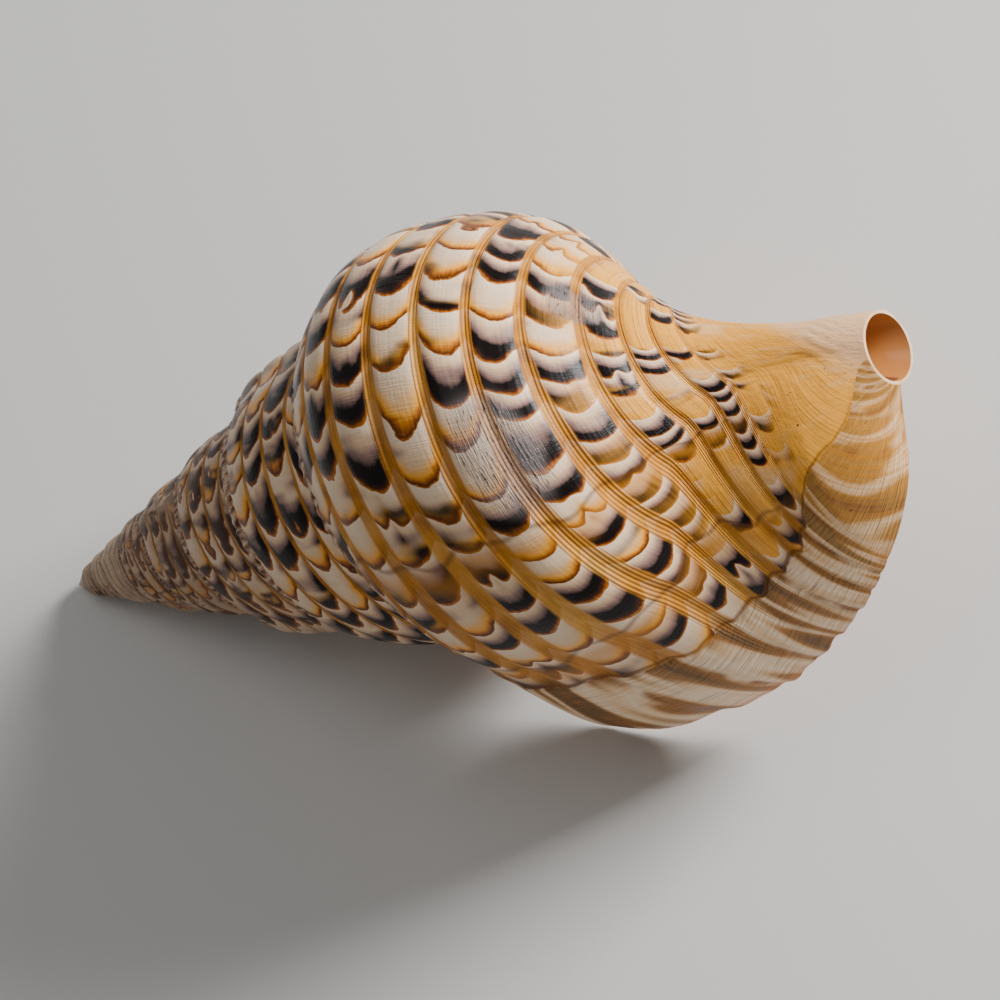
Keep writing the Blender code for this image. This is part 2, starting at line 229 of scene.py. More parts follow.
    def place(self, turn: Array, z: Array, r: Array) -> Array:
        """Points in metres from turns, heights and radii."""
        turn, z, r = np.broadcast_arrays(turn, z, r)
        above = np.clip((z - self.suture_height) / (1.0 - self.suture_height), 0.0, 1.1)
        lean = self.lean[0] * above + self.lean[1] * above**2 + self.lean[2] * above**3
        angle = 2 * np.pi * turn + np.radians(self.lip_angle + lean)
        bend = np.clip((z - self.canal_bend_start) / (1 - self.canal_bend_start), 0.0, 1.2) ** 2
        bend = self.canal_bend * bend
        towards = math.radians(self.lip_angle + self.canal_bend_angle)
        x = r * np.cos(angle) + bend * math.cos(towards)
        y = r * np.sin(angle) + bend * math.sin(towards)
        return np.stack([x, y, z], -1) * self.length @ self.standing().T + np.array(self.apex_at)


SPIRAL = GrowthSpiral()
FINE_U = np.concatenate([np.linspace(0, 1, 81)[:-1], np.linspace(1, 2, 121)[:-1], np.linspace(2, 3, 25)])
LAST_EXPOSED = 80


def cords_along(turn: float) -> Array:
    """The cord count at each value of FINE_U."""
    z, r = SPIRAL.plain_section(turn, FINE_U)
    along = np.concatenate([[0.0], np.cumsum(np.hypot(np.diff(z), np.diff(r)))])
    return SPIRAL.cord_count(along / SPIRAL.expansion**turn)


FIRST_CORD = float(SPIRAL.cord_count(0.0))
SUTURE_CORD = float(cords_along(-1.0)[LAST_EXPOSED])


@dataclass(frozen=True)
class Relief:
    """What stands out from the plain section.

    A lean is how far a line moves, in turns, and the cords between which it does so. A groove's wave is
    its height in cords and how fast it runs with the turn and with the cords. A break's wave is its
    height in turns, how fast it runs with the cords and where it starts.
    """

    cord_height: float = 0.0036
    groove_width: float = 0.12
    groove_waves: tuple[Triple, ...] = ((0.035, 17.0, 2.1), (0.02, 41.0, -1.3))
    crown: float = 0.0016
    last_full_cord: float = 10.0
    late_softening: float = 0.45
    band_softening: float = 0.4
    varices: tuple[float, ...] = (-0.80, -1.50, -2.07, -2.72, -3.38, -4.05, -4.7, -5.35)
    varix_height: float = 0.016
    varix_width: float = 0.022
    band_start: float = -0.098
    band_leans: tuple[Triple, ...] = ((0.040, 3.5, 7.2), (-0.055, 9.0, 13.0), (-0.12, 13.0, 17.5))
    band_step: float = 0.0030
    scallop: float = 0.002
    scallops_fade: Pair = (9.0, 11.0)
    breaks: tuple[Pair, ...] = ((-0.228, 0.0016), (-0.128, 0.0012))
    break_lean: Triple = (0.038, 5.5, 10.5)
    break_waves: tuple[Triple, ...] = ((0.004, 2.3, 0.0), (0.003, 5.1, 1.0))
    breaks_fade: Pair = (9.0, 11.5)
    pucker_height: float = 0.0013
    puckers_per_turn: float = 62.0
    ruffle_height: float = 0.0013
    ruffle_turns: float = 0.06

    def band_edge(self, cords: Array) -> Array:
        """The turn where the last band starts."""
        edge = self.band_start
        for lean, first, last in self.band_leans:
            edge = edge + lean * smooth(cords, first, last)
        return edge

    def ruffle(self, turn: Array, cords: Array) -> Array:
        """The waves of the last band, which grow towards the lip."""
        grows = smooth(turn, -self.ruffle_turns, 0.0)
        wave = np.sin(FULL_TURN * cords) + 0.5 * np.sin(FULL_TURN * 1.7 * cords + 1.3)
        return self.ruffle_height * grows * wave * smooth(cords, 1.0, 2.5) * (1 - smooth(cords, 6.5, 9.5))

    def height(self, turn: float, cords: Array, share_of_neck: Array) -> Array:
        """How far the surface stands out.

        Args:
            turn: turns from the lip.
            cords: cord counts.
            share_of_neck: 0 before the neck and 1 at the end of the canal.

        Returns:
            Heights over the plain section.
        """
        scale = SPIRAL.expansion**turn
        wander = sum(high * np.sin(fast * turn + along * cords) for high, fast, along in self.groove_waves)
        off = cords + wander - np.round(cords + wander)
        cord = 1.0 - np.exp(-((off / self.groove_width) ** 2))
        crown = self.crown * np.sin(np.pi * np.abs(off))
        fading = 1.0 - 0.8 * smooth(cords, self.last_full_cord - 1.5, self.last_full_cord + 2.0)
        edge = self.band_edge(cords)
        softer = 1.0 - self.late_softening * smooth(turn, -0.35, -0.12)
        softer = softer * (1.0 - self.band_softening * smooth(turn, edge - 0.01, edge + 0.02))
        out = (self.cord_height * cord + crown - 0.6 * self.crown) * scale * fading * softer
        for place in self.varices:
            out = out + self.varix_height * scale * np.exp(-(((turn - place) / self.varix_width) ** 2))
        lean, first, last = self.break_lean
        for place, step in self.breaks:
            place = place + lean * smooth(cords, first, last)
            for high, along, start in self.break_waves:
                place = place + high * np.sin(along * cords + start)
            seen = 1.0 - smooth(cords, *self.breaks_fade)
            out = out - seen * step * smooth(turn, place - 0.005, place + 0.005)
            out = out + seen * step * smooth(turn, place, place + 0.09)
        edge = edge + self.scallop * np.sin(FULL_TURN * cords) * (1.0 - smooth(cords, *self.scallops_fade))
        out = out + self.band_step * smooth(turn, edge - 0.003, edge + 0.003)
        pucker = np.sin(FULL_TURN * turn * self.puckers_per_turn + 1.4 * np.sin(turn * 23.0) + cords * 2.0)
        out = out + self.pucker_height * scale * pucker * (1.0 - smooth(cords, 1.0, 1.6))
        out = out + self.ruffle(turn, cords)

        near = smooth(np.abs(cords - SUTURE_CORD), 0.0, 0.4)
        near = 1.0 - (1.0 - near) * (1.0 - smooth(turn, -1.0, -0.93))
        first = smooth(cords, FIRST_CORD, FIRST_CORD + 0.3)
        return out * near * first * (1.0 - smooth(share_of_neck, 0.3, 1.0))


@dataclass
class Outside:
    """The closed outside of the shell, with nothing hollow yet."""

    relief: Relief
    row_steps: tuple[int, ...] = (1, 2, 4, 4, 8, 8, 8, 8)
    column_steps: tuple[float, ...] = (0.0, 0.045, 0.1, 0.16, 0.25, 0.38, 0.5, 0.62, 0.75, 0.84, 0.9, 0.955)
    suture_gap: float = 0.06
    last_column: float = 11.0
    neck_columns: int = 22
    early_rows: int = 264
    lip_rows: int = 56
    lip_rows_start: float = -0.11
    apex_height: float = 0.0235
    apex_cords: float = 900.0

    def __post_init__(self) -> None:
        """Set the facets' rows and columns out."""
        counts = [cord + step for cord in range(1, 11) for step in self.column_steps]
        head = list(np.linspace(FIRST_CORD, 1.0, 8)[:-1])
        self.whorl = head + [count for count in counts if count < SUTURE_CORD - self.suture_gap]
        self.base = [count for count in counts if count > SUTURE_CORD + self.suture_gap] + [self.last_column]
        early = np.linspace(-1.0, self.lip_rows_start, self.early_rows + 1)[:-1]
        self.turns = np.concatenate([early, np.linspace(self.lip_rows_start, 0.0, self.lip_rows + 1)])

    def row(self, turn: float, count: int) -> tuple[Array, Array]:
        """One row of the outside.

        Args:
            turn: the row's turn.
            count: how many columns it has.

        Returns:
            Its points in metres and its cord counts.
        """
        cords = cords_along(turn)
        if count == len(self.whorl) + 1:
            wanted = np.array(self.whorl + [cords[LAST_EXPOSED]])
            u = np.interp(wanted, cords, FINE_U)
            u[-1] = 1.0
            share = np.zeros(len(u))
        else:
            fixed = np.array(self.whorl + [SUTURE_CORD] + self.base)
            share = np.linspace(0, 1, self.neck_columns + 1)[1:]
            u = np.interp(fixed, cords, FINE_U)
            u = np.concatenate([u, mix(u[-1], 3.0, share)])
            wanted = np.interp(u, FINE_U, cords)
            wanted[: len(fixed)] = fixed
            share = np.concatenate([np.zeros(len(fixed)), share])
        u[0] = 0.0
        z, r = SPIRAL.section(turn, u)
        ahead_z, ahead_r = SPIRAL.section(turn, np.clip(u + 0.01, 0, 3))
        behind_z, behind_r = SPIRAL.section(turn, np.clip(u - 0.01, 0, 3))
        along_z, along_r = ahead_z - behind_z, ahead_r - behind_r
        length = np.hypot(along_z, along_r)
        out = self.relief.height(turn, wanted, share)
        if turn <= -1.0:
            out[len(self.whorl)] = 0.0
        out[0] = 0.0
        return SPIRAL.place(turn, z - along_r / length * out, r + along_z / length * out), wanted

    def add_whorl(self, shell: bmesh.types.BMesh, older: int, every: int, next_every: int) -> None:
        """Add one whorl.

        Args:
            shell: takes the whorl.
            older: how many turns before the lip it ended.
            every: how many of the finest rows one of its rows stands for.
            next_every: the same for the whorl after it.
        """
        turns = self.turns[::every]
        columns = len(self.whorl) + (0 if older else len(self.base) + self.neck_columns)
        bm = bmesh.new()
        flat_grid(bm, len(turns) - 1, columns)
        if next_every < every:
            seam = [e for e in bm.edges if min(v.co.y for v in e.verts) > columns - 0.5]
            bmesh.ops.subdivide_edges(bm, edges=seam, cuts=1)
        rows: dict[int, tuple[Array, Array]] = {}

        def corner(x: float, y: float) -> Corner:
            """The place and growth coordinates of the corner at row x and column y."""
            step, column = round(x * every), round(y)
            turn = self.turns[step] - older
            if step not in rows:
                rows[step] = self.row(turn, columns + 1)
            points, cords = rows[step]
            return points[column], (turn, cords[column])

        lay(bm, Surface.OUTSIDE, corner)
        mesh = bpy.data.meshes.new("whorl")
        bm.to_mesh(mesh)
        bm.free()
        shell.from_mesh(mesh)
        bpy.data.meshes.remove(mesh)

    def build(self) -> bmesh.types.BMesh:
        """Join the whorls, close both ends and return the mesh."""
        bm = bmesh.new()
        bm.loops.layers.uv.new(GROWTH_MAP)
        for older, every in enumerate(self.row_steps):
            self.add_whorl(bm, older, every, self.row_steps[max(older - 1, 0)])
        bmesh.ops.remove_doubles(bm, verts=bm.verts, dist=SAME_PLACE)
        whole = len(self.whorl) + len(self.base) + self.neck_columns + 1
        lip = nearest(bm, self.row(0.0, whole)[0])
        inner = nearest(bm, self.row(-1.0, whole)[0])[len(self.whorl):]
        ring = nearest(bm, np.array([self.row(turn, whole)[0][-1] for turn in self.turns]))
        fill(bm, ring)
        fill(bm, lip + inner)
        tip = [v for e in bm.edges if len(e.link_faces) == 1 for v in e.verts]
        made = bmesh.ops.contextual_create(bm, geom=open_edges(tip))
        point = bmesh.ops.poke(bm, faces=made["faces"])["verts"][0]
        point.co = Vector(SPIRAL.place(0.0, self.apex_height, 0.0))
        layer = bm.loops.layers.uv[GROWTH_MAP]
        for face in point.link_faces:
            face.material_index = Surface.OUTSIDE.value
            for loop in face.loops:
                loop[layer].uv = (-len(self.row_steps), loop.vert.co.z * self.apex_cords)
        bmesh.ops.recalc_face_normals(bm, faces=bm.faces)
        return bm


def flat_grid(bm: bmesh.types.BMesh, rows: int, columns: int) -> None:
    """Add a flat grid whose x is its row and y its column."""
    made = bmesh.ops.create_grid(bm, x_segments=rows, y_segments=columns, size=0.5)
    for vert in made["verts"]:
        vert.co = Vector(((vert.co.x + 0.5) * rows, (vert.co.y + 0.5) * columns, 0.0))


def lay(bm: bmesh.types.BMesh, surface: Surface, corner: Callable[[float, float], Corner]) -> None:
    """Shape a flat grid and map it.

    Args:
        bm: holds the grid.
        surface: which surface of the shell it becomes.
        corner: gives a corner's place and growth coordinates from its row and column.
    """
    layer = bm.loops.layers.uv.new(GROWTH_MAP)
    bm.verts.index_update()
    growth: dict[int, Pair] = {}
    for vert in bm.verts:
        place, growth[vert.index] = corner(vert.co.x, vert.co.y)
        vert.co = Vector(place)
    for face in bm.faces:
        face.smooth = True
        face.material_index = surface.value
        for loop in face.loops:
            loop[layer].uv = growth[loop.vert.index]


def nearest(bm: bmesh.types.BMesh, points: Array) -> list[bmesh.types.BMVert]:
    """The vertices that lie on the given points."""
    verts = list(bm.verts)
    places = np.array([v.co for v in verts])
    return [verts[int(np.argmin(((places - point) ** 2).sum(1)))] for point in points]


def open_edges(verts: list[bmesh.types.BMVert]) -> list[bmesh.types.BMEdge]:
    """The open edges whose two ends are both in verts."""
    chosen = set(verts)
    edges = {e for v in verts for e in v.link_edges}
    return [e for e in edges if len(e.link_faces) == 1 and set(e.verts) <= chosen]


def fill(bm: bmesh.types.BMesh, verts: list[bmesh.types.BMVert]) -> None:
    """Close the open edges among verts with flat faces of the lip's edge."""
    made = bmesh.ops.contextual_create(bm, geom=open_edges(verts))
    made = bmesh.ops.triangulate(bm, faces=made["faces"], ngon_method="EAR_CLIP")
    for face in made["faces"]:
        face.material_index = Surface.EDGE.value


@dataclass(frozen=True)
class Hollow:
    """The space inside the shell, with the teeth of the lip and the folds of the columella."""

    wall: float = 0.013
    lip_wall: float = 0.0062
    canal_wall: float = 0.0075
    least_wall_scale: float = 0.55
    callus: float = 0.0035
    tooth: float = 0.0042
    tooth_width: float = 0.07
    fold: float = 0.0016
    folds_per_length: float = 46.0
    least_gap: float = 0.009
    axis_gap: float = 0.004
    turns: float = 1.7
    rows_per_turn: int = 90
    rungs: int = 60

    def outer_side(self, depth: float) -> Array:
        """The lip's side of the hollow at a depth in turns: rows of height, radius and growth coordinate."""
        turn = -max(depth, 0.0)
        u = np.linspace(0.0, 3.0, 481)
        cords = np.interp(u, FINE_U, cords_along(turn))
        scale = max(SPIRAL.expansion**turn, self.least_wall_scale)
        wall = mix(self.lip_wall, self.wall, smooth(depth, 0.0, 0.1)) * scale
        wall = mix(wall, self.canal_wall, smooth(u, 1.9, 2.3))
        place = cords - np.floor(cords)
        teeth = sum(np.exp(-(((place - middle) / self.tooth_width) ** 2)) for middle in TOOTH_PLACES)
        reach = smooth(depth, 0.002, 0.012) * (1.0 - smooth(depth, 0.022, 0.045))
        wall = wall + self.tooth * teeth * reach * smooth(cords, 1.5, 2.5) * (1 - smooth(cords, 10.0, 11.0))
        z, r = offset(*SPIRAL.section(turn, u), -wall)
        side = np.stack([z, r, cords], -1)
        lumen = SPIRAL.canal_radius - self.canal_wall
        beyond = [[1.0, lumen, cords[-1]], [PAST_CANAL, lumen, cords[-1]]]
        return np.vstack([side[side[:, 0] < 0.998], beyond])

    def inner_side(self, depth: float) -> Array:
        """The columella's side of the hollow, in the same way."""
        u = np.linspace(1.0, 3.0, 321)
        z, r = SPIRAL.plain_section(-1.0 - depth, u)
        lift = self.callus * smooth(depth, 0.02, 0.15) + 0.006 * smooth(-depth, 0.005, 0.035) - 0.0012
        folds = np.sin(FULL_TURN * (z * self.folds_per_length + depth * 3.0))
        folds = folds * smooth(z, 0.62, 0.7) * (1 - smooth(z, 0.86, 0.92))
        lift = lift + self.fold * folds * smooth(depth, 0.0, 0.04) * (1 - smooth(depth, 0.3, 0.5))
        z, r = offset(z, r, lift)
        opening = smooth(z, 0.86, 0.93) * (1.0 - smooth(depth, 0.12, 0.3))
        r = mix(r, self.axis_gap, opening)
        side = np.stack([z, r, INNER_SIDE + 10.0 * (u - 1.0)], -1)
        return np.vstack([side, [[PAST_CANAL, self.axis_gap, 2 * INNER_SIDE]]])

    def section(self, depth: float) -> Array:
        """The closed section of the hollow, as rows of height, radius and growth coordinate.

        Args:
            depth: turns behind the lip.

        Returns:
            One row for each point of the section.
        """
        outer, inner = self.outer_side(depth), self.inner_side(depth)
        least = self.least_gap * SPIRAL.expansion ** -max(depth, 0.0)
        end = mix(PAST_CANAL, 0.86, smooth(depth, 0.05, 0.3))
        under = np.interp(outer[:, 0], inner[:, 0], inner[:, 1], left=0.0)
        clear = (distances(outer, inner) > least) & (outer[:, 1] > under + 0.5 * least)
        outer = longest_run(outer, clear & (outer[:, 0] < end))
        after = inner[:, 0] > outer[:, 0].min() - 0.3 * least
        end = min(end, outer[-1, 0] + 0.3 * least)
        clear = (distances(inner, outer) > 0.8 * least) & after
        inner = longest_run(inner, clear & (inner[:, 0] < end))

        up, down = evenly(outer, self.rungs), evenly(inner, self.rungs)[::-1]
        front = rounded_end(up[-2:], down[1::-1], 0.25, 2 * INNER_SIDE)
        back = rounded_end(up[1::-1], down[-2:], 0.35, INNER_SIDE)
        return np.vstack([up, front, down, back])

    def build(self) -> bmesh.types.BMesh:
        """Sweep the section from in front of the lip back into the spire."""
        depths = [-0.035, -0.02, -0.01, -0.004] + list(np.linspace(0.001, 0.06, 24))
        depths += list(np.linspace(0.06, 0.2, 20)[1:])
        depths += list(np.linspace(0.2, self.turns, int((self.turns - 0.2) * self.rows_per_turn))[1:])
        sections = [self.section(depth) for depth in depths]
        around = len(sections[0])

        def corner(x: float, y: float) -> Corner:
            """The place and growth coordinates of the corner at row x and column y."""
            turn = -depths[round(x)]
            z, r, along = sections[round(x)][round(y) % around]
            return SPIRAL.place(turn, z, r), (turn, along)

        bm = bmesh.new()
        flat_grid(bm, len(depths) - 1, around)
        lay(bm, Surface.INSIDE, corner)
        close_ends(bm)
        return bm


def offset(z: Array, r: Array, amount: Array) -> tuple[Array, Array]:
    """A section's curve moved to its outer side by amount."""
    dz, dr = np.gradient(z), np.gradient(r)
    length = np.hypot(dz, dr)
    return z - dr / length * amount, r + dz / length * amount


def distances(curve: Array, other: Array) -> Array:
    """How far each point of a curve is from the nearest point of another."""
    return np.sqrt(((curve[:, None, :2] - other[None, :, :2]) ** 2).sum(-1)).min(1)


def longest_run(curve: Array, clear: Array) -> Array:
    """The curve's longest unbroken stretch where clear holds."""
    marks = np.flatnonzero(np.diff(np.concatenate([[0], clear.astype(int), [0]])))
    starts, stops = marks[::2], marks[1::2]
    best = int(np.argmax(stops - starts))
    return curve[starts[best]:stops[best]]


def evenly(curve: Array, count: int) -> Array:
    """Points spread evenly along a curve."""
    length = np.concatenate([[0.0], np.cumsum(np.hypot(*np.diff(curve[:, :2], axis=0).T))])
    wanted = np.linspace(0.0, length[-1], count)
    return np.stack([np.interp(wanted, length, curve[:, k]) for k in range(curve.shape[1])], -1)


def rounded_end(one: Array, other: Array, reach: float, along: float) -> Array:
    """The point that rounds off the gap between the ends of two curves.

    Args:
        one: the last two points of a curve.
        other: the last two points of the other.
        reach: how far the point stands out, as a share of the gap.
        along: its growth coordinate.

    Returns:
        The point.
    """
    point = (one[1] + other[1]) / 2
    ahead = (one[1] - one[0] + other[1] - other[0])[:2]
    gap = np.hypot(*(one[1] - other[1])[:2])
    point[:2] = point[:2] + ahead / np.hypot(*ahead) * gap * reach
    point[2] = along
    return point


def close_ends(bm: bmesh.types.BMesh) -> None:
    """Join a swept grid to a tube and put faces over its open ends."""
    bmesh.ops.remove_doubles(bm, verts=bm.verts, dist=SAME_PLACE)
    ends = [e for e in bm.edges if len(e.link_faces) == 1]
    made = bmesh.ops.holes_fill(bm, edges=ends)
    for face in made["faces"]:
        face.material_index = Surface.INSIDE.value
    bmesh.ops.triangulate(bm, faces=[f for f in bm.faces if len(f.verts) > 4])
    bmesh.ops.recalc_face_normals(bm, faces=bm.faces)


@dataclass(frozen=True)
class CanalBore:
    """The round way along the canal, its radius given at five heights."""

    radii: tuple[Pair, ...] = (
        (0.875, 0.012),
        (0.9, 0.019),
        (0.97, 0.0262),
        (1.0, 0.0312),
        (PAST_CANAL, 0.0345),
    )
    rows: int = 28
    sides: int = 96

    def build(self) -> bmesh.types.BMesh:
        """Sweep the bore from in front of the canal to where the aperture opens out."""
        heights = np.linspace(self.radii[-1][0], self.radii[0][0], self.rows)
        radii = np.interp(heights, *np.array(self.radii).T)

        def corner(x: float, y: float) -> Corner:
            """The place and growth coordinates of the corner at row x and column y."""
            side = round(y) % self.sides
            return SPIRAL.place(side / self.sides, heights[round(x)], radii[round(x)]), BORE_GROWTH

        bm = bmesh.new()
        flat_grid(bm, self.rows - 1, self.sides)
        lay(bm, Surface.INSIDE, corner)
        close_ends(bm)
        return bm


def floor_block() -> bmesh.types.BMesh:
    """What is under the shell: it trims the three places that it stands on to small flats."""
    bm = bmesh.new()
    bm.loops.layers.uv.new(GROWTH_MAP)
    bmesh.ops.create_cube(bm, size=1.0, matrix=Matrix.Translation((0, 0, -0.5)))
    return bm


def make_object(name: str, bm: bmesh.types.BMesh, materials: list[bpy.types.Material]) -> bpy.types.Object:
    """An object of a mesh, with its list of materials."""
    mesh = bpy.data.meshes.new(name)
    bm.to_mesh(mesh)
    bm.free()
    for material in materials:
        mesh.materials.append(material)
    made = bpy.data.objects.new(name, mesh)
    bpy.context.scene.collection.objects.link(made)
    return made


class Field:
    """A number that changes over a surface. Its operators add Math nodes."""

    def __init__(self, bench: Bench, socket: bpy.types.NodeSocket) -> None:
        """Wrap a socket of a bench's node tree."""
        self.bench = bench
        self.socket = socket

    def __add__(self, other: Field | float) -> Field:
        """The sum."""
        return self.bench.maths("ADD", self, other)

    def __radd__(self, other: float) -> Field:
        """The sum, with the number first."""
        return self.bench.maths("ADD", other, self)

    def __sub__(self, other: Field | float) -> Field:
        """The difference."""
        return self.bench.maths("SUBTRACT", self, other)

    def __rsub__(self, other: float) -> Field:
        """The difference, with the number first."""
        return self.bench.maths("SUBTRACT", other, self)

    def __mul__(self, other: Field | float) -> Field:
        """The product."""
        return self.bench.maths("MULTIPLY", self, other)

    def __rmul__(self, other: float) -> Field:
        """The product, with the number first."""
        return self.bench.maths("MULTIPLY", other, self)

    def __truediv__(self, other: Field | float) -> Field:
        """The quotient."""
        return self.bench.maths("DIVIDE", self, other)

    def fraction(self) -> Field:
        """What is left over the next lower whole number."""
        return self.bench.maths("FRACT", self)

    def whole(self) -> Field:
        """The next lower whole number."""
        return self.bench.maths("FLOOR", self)

    def size(self) -> Field:
        """The value without its sign."""
        return self.bench.maths("ABSOLUTE", self)

    def wave(self) -> Field:
        """The sine, one whole wave to a step of 1."""
        return self.bench.maths("SINE", self * FULL_TURN)

    def rise(self, start: float, end: float) -> Field:
        """A smooth rise from 0 at start to 1 at end."""
        settings = {"interpolation_type": "SMOOTHSTEP"}
        made = self.bench.node("ShaderNodeMapRange", settings, {0: self, 1: start, 2: end, 3: 0.0, 4: 1.0})
        return Field(self.bench, made.outputs[0])

    def fall(self, start: float, end: float) -> Field:
        """A smooth fall from 1 at start to 0 at end."""
        return 1.0 - self.rise(start, end)

    def hill(self, middle: float, width: float) -> Field:
        """1 at the middle, 0 further than width from it."""
        return (self - middle).size().fall(0.0, width)


class Bench:
    """A material's node tree and the ways to add to it."""

    def __init__(self, name: str) -> None:
        """Start a material.

        Args:
            name: the material's name.
        """
        self.material = bpy.data.materials.new(name)
        self.material.use_nodes = True
        self.tree = self.material.node_tree
        self.shader = self.tree.nodes["Principled BSDF"]

    def node(self, kind: str, settings: dict[str, object], inputs: dict[int | str, object]) -> bpy.types.Node:
        """Add a node.

        Args:
            kind: its type.
            settings: its own values, set first.
            inputs: values or links of its sockets.

        Returns:
            The node.
        """
        made = self.tree.nodes.new(kind)
        for key, value in settings.items():
            setattr(made, key, value)
        for key, value in inputs.items():
            self.feed(made.inputs[key], value)
        return made

    def feed(self, socket: bpy.types.NodeSocket, value: object) -> None:
        """Link a socket or set its value."""
        if isinstance(value, Field):
            value = value.socket
        if isinstance(value, bpy.types.NodeSocket):
            self.tree.links.new(value, socket)
        elif isinstance(value, tuple) and len(socket.default_value) == 4:
            socket.default_value = (*value[:3], 1.0)
        else:
            socket.default_value = value

    def maths(self, operation: str, a: Field | float, b: Field | float = 0.0) -> Field:
        """Add a Math node."""
        made = self.node("ShaderNodeMath", {"operation": operation}, {0: a, 1: b})
        return Field(self, made.outputs[0])

    def growth(self) -> tuple[Field, Field]:
        """The turn and the cord count of the surface."""
        made = self.node("ShaderNodeUVMap", {"uv_map": GROWTH_MAP}, {})
        parts = self.node("ShaderNodeSeparateXYZ", {}, {0: made.outputs[0]})
        return Field(self, parts.outputs[0]), Field(self, parts.outputs[1])

    def places(self) -> bpy.types.NodeSocket:
        """The object's own coordinates, in metres."""
        return self.node("ShaderNodeTexCoord", {}, {}).outputs["Object"]

    def vector(self, x: Field | float, y: Field | float, z: Field | float = 0.0) -> bpy.types.NodeSocket:
        """A vector of three numbers."""
        return self.node("ShaderNodeCombineXYZ", {}, {0: x, 1: y, 2: z}).outputs[0]

    def noise(self, where: bpy.types.NodeSocket, scale: float, detail: float = 2.0) -> Field:
        """Soft noise about 0.5."""
        made = self.node("ShaderNodeTexNoise", {}, {"Vector": where, "Scale": scale, "Detail": detail})
        return Field(self, made.outputs[0])

    def streaked(self, x: Field, y: Field, detail: float = 2.0) -> Field:
        """Noise about 0.5, as fine along x and along y as each was multiplied."""
        return self.noise(self.vector(x, y), 1.0, detail)

    def chance(self, x: Field | float, y: Field | float) -> Field:
        """A random number from 0 to 1 for each pair of whole numbers."""
        inputs = {"Vector": self.vector(x + 0.37, y + 0.61)}
        made = self.node("ShaderNodeTexWhiteNoise", {"noise_dimensions": "2D"}, inputs)
        return Field(self, made.outputs["Value"])

    def blend(self, share: Field | float, first: object, second: object) -> bpy.types.NodeSocket:
        """A colour between two others."""
        made = self.node("ShaderNodeMix", {"data_type": "RGBA"}, {0: share, 6: first, 7: second})
        return made.outputs[2]

    def ramp(self, share: Field, stops: tuple[tuple[float, Colour], ...]) -> bpy.types.NodeSocket:
        """A colour that goes through the stops, each a share and its colour."""
        made = self.node("ShaderNodeValToRGB", {}, {0: share})
        elements = made.color_ramp.elements
        elements[0].position, elements[1].position = stops[0][0], stops[-1][0]
        for place, _ in stops[1:-1]:
            elements.new(place)
        for element, (_, colour) in zip(elements, stops):
            element.color = (*colour, 1.0)
        return made.outputs[0]

    def gloss(self, mirror: float, coat: float, coat_roughness: float) -> None:
        """Set how much the surface and its clear coat shine."""
        self.shader.inputs["Specular IOR Level"].default_value = mirror
        self.shader.inputs["Coat Weight"].default_value = coat
        self.shader.inputs["Coat Roughness"].default_value = coat_roughness

    def finish(self, colour: object, roughness: object, bump: Field | None) -> bpy.types.Material:
        """Feed the shader and return the material.

        Args:
            colour: base colour.
            roughness: roughness.
            bump: heights in metres, or None for a smooth surface.

        Returns:
            The material.
        """
        self.feed(self.shader.inputs["Base Color"], colour)
        self.feed(self.shader.inputs["Roughness"], roughness)
        if bump is not None:
            inputs = {"Strength": 1.0, "Distance": 1.0, "Height": bump}
            made = self.node("ShaderNodeBump", {}, inputs)
            self.feed(self.shader.inputs["Normal"], made.outputs[0])
        return self.material


@dataclass(frozen=True)
class OutsideFinish:
    """Cream cords with dark crescents, gold grooves, a gold base and a pale last band.

    Pairs are the two turns or cords between which something comes or goes. Heights are in metres.
    """

    white: Colour = (0.95, 0.74, 0.54)
    cream: Colour = (0.86, 0.57, 0.33)
    lilac: Colour = (0.34, 0.20, 0.165)
    black: Colour = (0.004, 0.0012, 0.0006)
    brown: Colour = (0.070, 0.015, 0.002)
    orange: Colour = (0.52, 0.150, 0.008)
    gold: Colour = (0.66, 0.245, 0.014)
    dark_gold: Colour = (0.18, 0.058, 0.005)
    pale_gold: Colour = (0.96, 0.47, 0.075)
    amber: Colour = (0.98, 0.43, 0.045)
    bead: Colour = (0.58, 0.28, 0.14)
    grey: Colour = (0.24, 0.20, 0.19)
    band_tan: Colour = (0.34, 0.135, 0.032)
    band_grey: Colour = (0.10, 0.055, 0.03)
    canal: Colour = (0.98, 0.61, 0.36)
    dull: Colour = (0.25, 0.14, 0.10)
    worn: Colour = (0.72, 0.50, 0.34)
    period: float = 0.029
    arch: float = 0.55
    threads_per_cord: float = 14.0
    beads_per_turn: float = 64.0
    last_whorl: Pair = (-0.26, 0.04)
    base_cords: Pair = (6.8, 8.6)
    last_grooves: Pair = (10.6, 11.6)
    neck_cords: Pair = (14.5, 17.5)
    old_turns: Pair = (-3.2, -1.3)
    worn_turns: Pair = (-6.0, -3.9)
    rubbed: tuple[tuple[Pair, Pair], ...] = (((-0.285, 0.075), (5.9, 1.1)), ((-0.425, 0.035), (8.0, 0.9)))
    line_height: float = 0.00014
    thread_height: float = 0.00016
    bead_height: float = 0.0009
    ripple_height: float = 0.00030
    streak_height: float = 0.00008
    scratch_height: float = 0.0004
    growth_line_height: float = 0.0007
    chalk_height: float = 0.0005
    lump_height: float = 0.0012
    clear_coat: float = 0.08
    coat_roughness: float = 0.12
    mirror: float = 0.22

    def material(self, relief: Relief) -> bpy.types.Material:
        """Build the material round the growth breaks and the last band of a relief, and return it."""
        paint = OutsidePaint(self, relief)
        paint.base(paint.crescents())
        paint.grooves()
        paint.beads()
        paint.wear()
        paint.growth_breaks()
        paint.last_band()
        paint.bench.gloss(self.mirror, self.clear_coat, self.coat_roughness)
        return paint.bench.finish(paint.colour, paint.rough, paint.heights)


